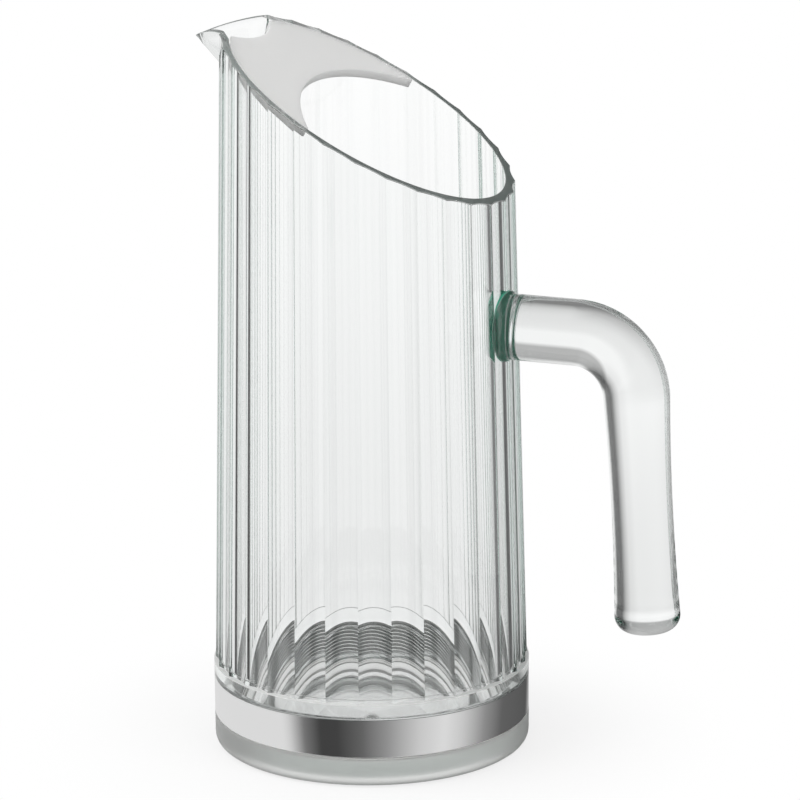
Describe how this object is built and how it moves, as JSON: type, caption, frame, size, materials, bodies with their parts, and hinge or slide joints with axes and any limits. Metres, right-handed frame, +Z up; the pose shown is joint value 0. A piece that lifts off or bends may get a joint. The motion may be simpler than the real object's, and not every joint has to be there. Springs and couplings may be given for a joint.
{
  "type": "pitcher",
  "caption": "Clear fluted pitcher with a slanted mouth, pouring beak, free-ended bar handle, frosted ice guard, metal foot band and a screw-off base.",
  "frame": {"origin": "centre of the foot ring, on the surface that the pitcher stands on", "axes": "+Z up along the jug's axis, +X towards the handle, so the beak points to -X"},
  "size_m": [0.16, 0.1, 0.2271],
  "materials": {
    "clear_body": "polished clear moulding with a faint green tint",
    "clear_handle": "polished solid clear bar",
    "polished_steel": "mirror polished stainless band",
    "clear_base": "thick clear moulding, greyer where it is solid",
    "silicone": "translucent silicone",
    "frosted_guard": "frosted translucent plate with smooth edges"
  },
  "bodies": {
    "jug": {"jug_body": "clear_body", "handle": "clear_handle", "steel_band": "polished_steel"},
    "base_drop": {"base_seal": "silicone"},
    "base_turn": {"screw_base": "clear_base"},
    "guard": {"ice_guard": "frosted_guard"}
  },
  "joints": [
    {"name": "base_drop", "type": "slide", "parent": "jug", "child": "base_drop", "axis": [0, 0, -1], "range_m": [0, 0.012]},
    {"name": "base_turn", "type": "hinge", "parent": "base_drop", "child": "base_turn", "pos_m": [0, 0, 0], "axis": [0, 0, -1], "range_deg": [0, 900]},
    {"name": "guard_lift", "type": "slide", "parent": "jug", "child": "guard", "axis": [0.4939, 0, 0.8695], "range_m": [0, 0.05]}
  ],
  "couplings": [
    {"joint": "base_drop", "follows": "base_turn", "m_per_rad": 0.00076394}
  ]
}
